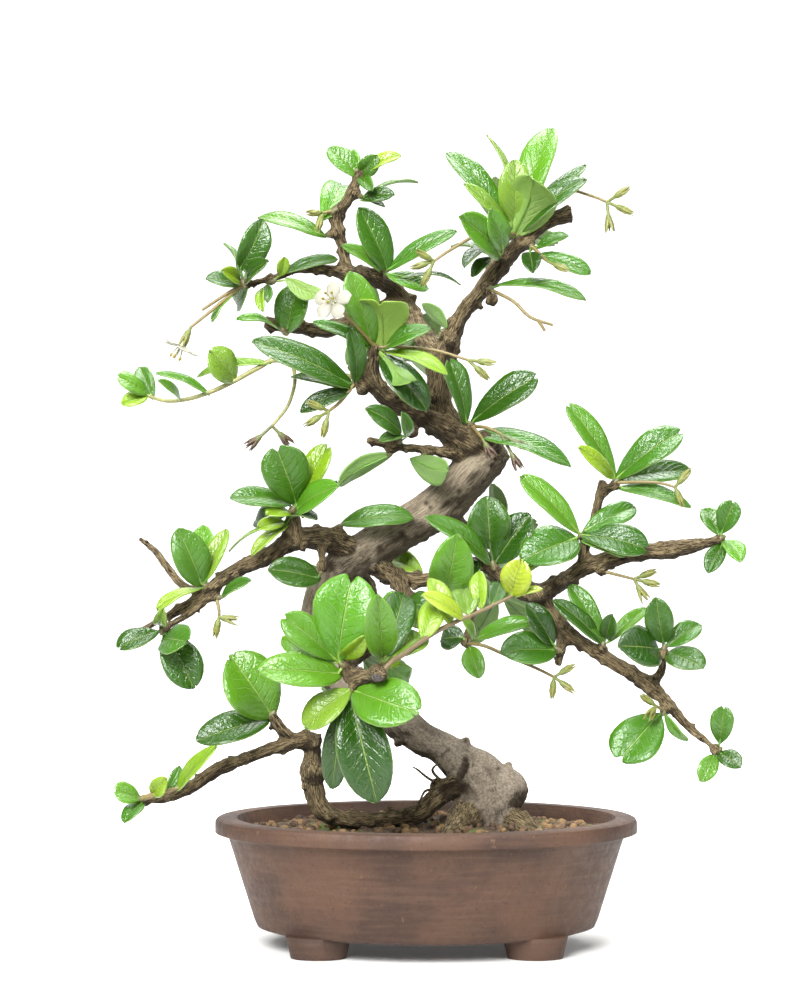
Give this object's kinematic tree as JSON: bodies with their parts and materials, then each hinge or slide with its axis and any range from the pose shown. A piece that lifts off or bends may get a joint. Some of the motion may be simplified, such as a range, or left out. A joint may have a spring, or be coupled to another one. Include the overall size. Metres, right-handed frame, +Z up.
{
  "type": "fukien tea bonsai",
  "caption": "Small flowering evergreen tree trained with a bent trunk and layered branches, in an oval footed pot with soil.",
  "frame": {"origin": "on the table, under the middle of the tree and its pot", "axes": "+Z up, +X to the right and +Y away from someone who looks at the tree's front"},
  "size_m": [0.1735, 0.1268, 0.2303],
  "materials": {
    "pot": "matte",
    "mesh": "matte",
    "soil": "matte",
    "bark": "matte",
    "petal": "satin",
    "leaf_dark": "gloss",
    "leaf_deep": "gloss",
    "leaf_mid": "gloss",
    "leaf_light": "gloss",
    "leaf_pale": "gloss",
    "leaf_young": "gloss",
    "leaf_youngest": "gloss"
  },
  "bodies": {
    "root": {"pot": "pot", "drain_mesh_left": "mesh", "drain_mesh_right": "mesh", "soil": "soil", "wood": "bark", "crown_left": "leaf_deep", "crown_inner": "leaf_young", "stump_leaves": "leaf_mid", "crown_top": "leaf_pale", "crown_side": "leaf_light", "crown_long": "leaf_light", "crown_right": "leaf_mid", "fork_leaves": "leaf_mid", "dark_end": "leaf_light", "dark_under": "leaf_deep", "limb_leaf": "leaf_pale", "middle_hang": "leaf_pale", "middle_low": "leaf_pale", "middle_round": "leaf_deep", "top_right": "leaf_mid", "top_left_side": "leaf_young", "top_low_side": "leaf_deep", "top_right_side": "leaf_mid", "knuckle_top": "leaf_mid", "long_shoot": "leaf_young", "left_heart": "leaf_mid", "left_long": "leaf_mid", "left_under": "leaf_deep", "left_end": "leaf_mid", "left_below": "leaf_mid", "left_low": "leaf_deep", "trunk_right": "leaf_dark", "trunk_front": "leaf_light", "trunk_under": "leaf_pale", "right_fork": "leaf_pale", "branch_calyx": "leaf_light", "right_top": "leaf_pale", "young_shoot": "leaf_youngest", "middle_bottom": "leaf_light", "spur_leaves": "leaf_mid", "lower_right_top": "leaf_deep", "lower_right_mid": "leaf_dark", "lower_right_leaf": "leaf_mid", "lower_right_end": "leaf_mid", "right_end": "leaf_mid", "front_upper": "leaf_light", "front_middle": "leaf_mid", "front_lower": "leaf_light", "front_back": "leaf_deep", "low_left": "leaf_light", "low_end": "leaf_young", "back_low_a": "leaf_dark", "back_low_b": "leaf_dark", "back_middle_a": "leaf_dark", "back_middle_b": "leaf_dark", "back_upper_a": "leaf_dark", "back_upper_b": "leaf_dark", "back_crown": "leaf_dark", "flower_front": "petal", "flower_left": "petal"}
  },
  "joints": []
}
